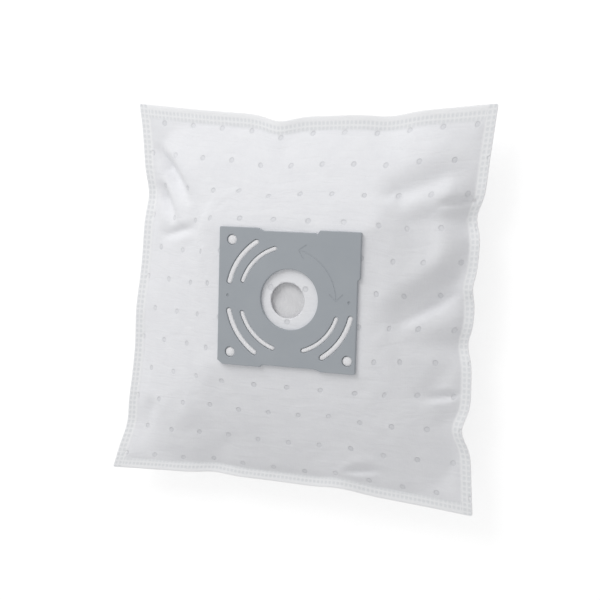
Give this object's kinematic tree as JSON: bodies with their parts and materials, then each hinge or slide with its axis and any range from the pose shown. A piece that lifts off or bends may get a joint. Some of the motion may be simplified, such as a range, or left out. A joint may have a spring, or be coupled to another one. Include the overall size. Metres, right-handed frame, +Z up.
{
  "type": "vacuum cleaner dust bag",
  "caption": "Disposable nonwoven dust bag for a vacuum cleaner, puffed out and lying on its back, with a welded edge seam and a slotted plastic collar plate round its inlet.",
  "frame": {"origin": "middle of the overall box, on the surface that the bag lies on", "axes": "+Z up out of the collar plate's face; +X to the right across the plate; +Y towards the bag's top edge"},
  "size_m": [0.303, 0.299, 0.0582],
  "materials": {
    "front_nonwoven": "matt white bonded nonwoven with small round bond dots",
    "back_nonwoven": "matt white bonded nonwoven, its inner fleece seen through the inlet",
    "grey_plastic": "satin moulded grey plastic"
  },
  "bodies": {
    "root": {"front_panel": "front_nonwoven", "back_panel": "back_nonwoven", "collar_plate": "grey_plastic"}
  },
  "joints": []
}
